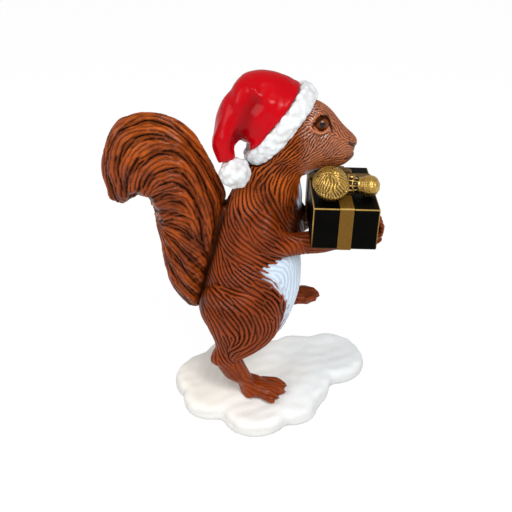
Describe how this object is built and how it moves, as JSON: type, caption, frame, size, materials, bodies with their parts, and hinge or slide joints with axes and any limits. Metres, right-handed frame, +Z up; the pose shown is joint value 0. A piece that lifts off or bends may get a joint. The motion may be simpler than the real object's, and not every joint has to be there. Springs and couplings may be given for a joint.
{
  "type": "squirrel figurine",
  "caption": "Free-standing squirrel ornament that steps along on one leg on a snow base, wearing a red pompom hat and carrying a dark gift box with a walnut and a peanut on its lid",
  "frame": {"origin": "middle of the snow base's flat underside, in plan", "axes": "+X where the squirrel looks, +Y to the squirrel's left, +Z up"},
  "size_m": [0.1885, 0.1147, 0.2501],
  "materials": {
    "torso": "cast polyresin, hand painted reddish brown with a dark wash in the fur grooves, gloss lacquer",
    "standing_leg": "cast polyresin, hand painted reddish brown with a dark wash in the fur grooves, gloss lacquer",
    "raised_leg": "cast polyresin, hand painted reddish brown with a dark wash in the fur grooves, gloss lacquer",
    "right_arm": "cast polyresin, hand painted reddish brown with a dark wash in the fur grooves, gloss lacquer",
    "left_arm": "cast polyresin, hand painted reddish brown with a dark wash in the fur grooves, gloss lacquer",
    "head": "cast polyresin, hand painted reddish brown with a dark wash in the fur grooves, gloss lacquer",
    "tail": "cast polyresin, hand painted reddish brown with a dark wash in the fur grooves, gloss lacquer",
    "right_eye": "painted dark brown, high gloss",
    "left_eye": "painted dark brown, high gloss",
    "hat_crown": "cast polyresin, painted red, gloss lacquer",
    "hat_brim": "cast polyresin, lumpy, painted white, satin",
    "pompom": "cast polyresin, lumpy, painted white, satin",
    "gift_box": "cast polyresin, painted black, edges dry-brushed antique gold",
    "gift_ribbon": "cast polyresin, painted antique gold",
    "ribbon_bow": "cast polyresin, painted antique gold",
    "walnut": "cast polyresin, painted antique gold over black",
    "peanut": "cast polyresin, painted antique gold over black",
    "snow_base": "cast polyresin, painted matte off-white",
    "leg_rod": "zinc plated",
    "rod_washer": "zinc plated",
    "rod_nut": "zinc plated",
    "neck_dowel": "plain hardwood dowel, glued",
    "tail_dowels": "plain hardwood dowel, glued",
    "arm_dowels": "plain hardwood dowel, glued",
    "hip_dowel": "plain hardwood dowel, glued",
    "hat_dowel": "plain hardwood dowel, glued",
    "pompom_pin": "plain hardwood dowel, glued",
    "gift_pins": "plain hardwood dowel, glued",
    "nut_pins": "plain hardwood dowel, glued"
  },
  "bodies": {
    "root": {"torso": "torso", "standing_leg": "standing_leg", "raised_leg": "raised_leg", "right_arm": "right_arm", "left_arm": "left_arm", "head": "head", "tail": "tail", "right_eye": "right_eye", "left_eye": "left_eye", "hat_crown": "hat_crown", "hat_brim": "hat_brim", "pompom": "pompom", "gift_box": "gift_box", "gift_ribbon": "gift_ribbon", "ribbon_bow": "ribbon_bow", "walnut": "walnut", "peanut": "peanut", "snow_base": "snow_base", "leg_rod": "leg_rod", "rod_washer": "rod_washer", "rod_nut": "rod_nut", "neck_dowel": "neck_dowel", "tail_dowels": "tail_dowels", "arm_dowels": "arm_dowels", "hip_dowel": "hip_dowel", "hat_dowel": "hat_dowel", "pompom_pin": "pompom_pin", "gift_pins": "gift_pins", "nut_pins": "nut_pins"}
  },
  "joints": []
}
